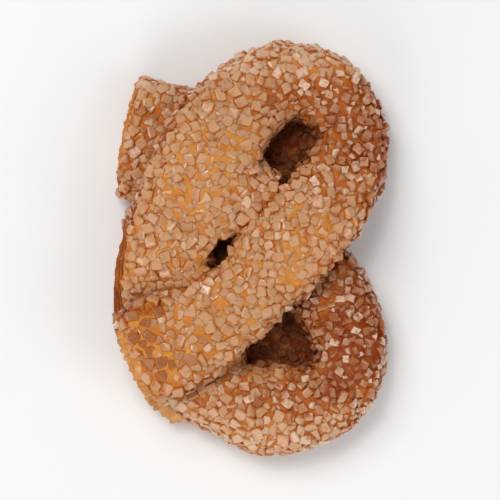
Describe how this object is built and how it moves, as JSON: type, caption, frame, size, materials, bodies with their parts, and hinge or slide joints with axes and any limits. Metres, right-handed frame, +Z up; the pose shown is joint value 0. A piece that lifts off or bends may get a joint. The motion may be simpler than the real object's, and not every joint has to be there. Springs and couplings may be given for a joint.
{
  "type": "sugared puff pastry twist",
  "caption": "Pretzel-shaped twist of puff pastry, one arm laid across the other between round lobes, baked golden and crusted all over with coarse sugar crystals.",
  "frame": {"origin": "on the plane that the pastry lies on, below the middle of its bounding box", "axes": "+X towards the round lobes, +Y along the longest side, towards the lobe that lies beside the tucked cut end, +Z up out of the sugared top"},
  "size_m": [0.0657, 0.0991, 0.0233],
  "materials": {
    "crust": "baked puff pastry under a thin caramelised sugar glaze, golden on the arms and deep brown on the lobes",
    "sugar": "coarse translucent sugar crystals, partly melted into the crust"
  },
  "bodies": {
    "root": {"pastry_twist": "crust"}
  },
  "joints": []
}
